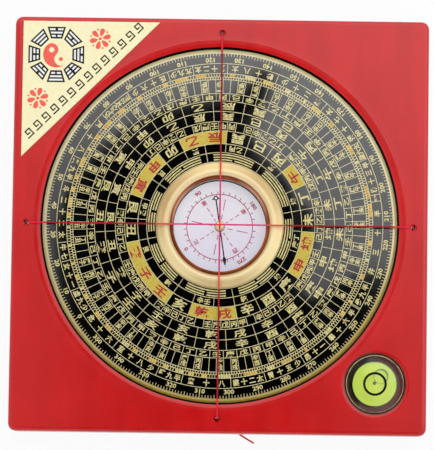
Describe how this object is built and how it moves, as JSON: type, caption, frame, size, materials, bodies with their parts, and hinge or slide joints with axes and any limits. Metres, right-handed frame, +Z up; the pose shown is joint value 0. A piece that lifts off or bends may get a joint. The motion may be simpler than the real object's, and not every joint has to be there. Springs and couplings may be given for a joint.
{
  "type": "feng shui compass",
  "caption": "Square red base with a turning round dial, a magnetic compass at its centre, a round bubble level in one corner and crossed sighting threads.",
  "frame": {"origin": "centre of the base plate's underside, on the surface that it rests on", "axes": "+Z up through the dial's axis, +Y towards the side whose left corner carries the label, +X to the right"},
  "size_m": [0.11, 0.1124, 0.0132],
  "materials": {
    "red_lacquer": "red lacquer with a soft gloss, slightly mottled",
    "label_paper": "pale yellow printed film",
    "red_thread": "twisted thread",
    "felt": "pressed felt",
    "black_moulding": "black moulding",
    "black_enamel": "glossy black enamel on an etched brass plate, with gold lines",
    "brass": "satin brass",
    "copper": "dark copper",
    "glass": "clear flat glass",
    "card_paper": "white card printed in red",
    "blued_steel": "blued steel",
    "agate": "polished hard stone",
    "clear_acrylic": "clear acrylic",
    "white_backing": "white disc",
    "lime_spirit": "lime-green liquid",
    "air": "air bubble"
  },
  "bodies": {
    "base": {"base_plate": "red_lacquer", "corner_label": "label_paper", "thread_north_south": "red_thread", "thread_east_west": "red_thread", "thread_tail": "red_thread", "glide_ring": "felt", "level_vial": "clear_acrylic", "level_plug": "clear_acrylic", "level_backing": "white_backing"},
    "dial": {"dial_disc": "black_moulding", "dial_face": "black_enamel", "compass_cup": "brass", "compass_card": "card_paper", "compass_glass": "glass", "compass_retainer": "copper", "compass_bezel": "brass", "pivot_post": "brass"},
    "needle": {"needle": "blued_steel", "needle_cap": "brass", "needle_jewel": "agate"},
    "level_fluid": {"level_fluid": "lime_spirit"},
    "bubble": {"level_bubble": "air"}
  },
  "joints": [
    {"name": "dial_turn", "type": "hinge", "parent": "base", "child": "dial", "pos_m": [0, 0, 0.0062], "axis": [0, 0, 1], "continuous": true},
    {"name": "needle_swing", "type": "hinge", "parent": "dial", "child": "needle", "pos_m": [0, 0, 0.0082], "axis": [0, 0, 1], "continuous": true},
    {"name": "fluid_swirl", "type": "hinge", "parent": "base", "child": "level_fluid", "pos_m": [0.0414, -0.0414, 0.0054], "axis": [0, 0, 1], "continuous": true},
    {"name": "bubble_drift", "type": "hinge", "parent": "level_fluid", "child": "bubble", "pos_m": [0.0414, -0.0414, -0.04105], "axis": [-0.7837, 0.6212, 0], "range_deg": [-7.2, 1.38]}
  ]
}
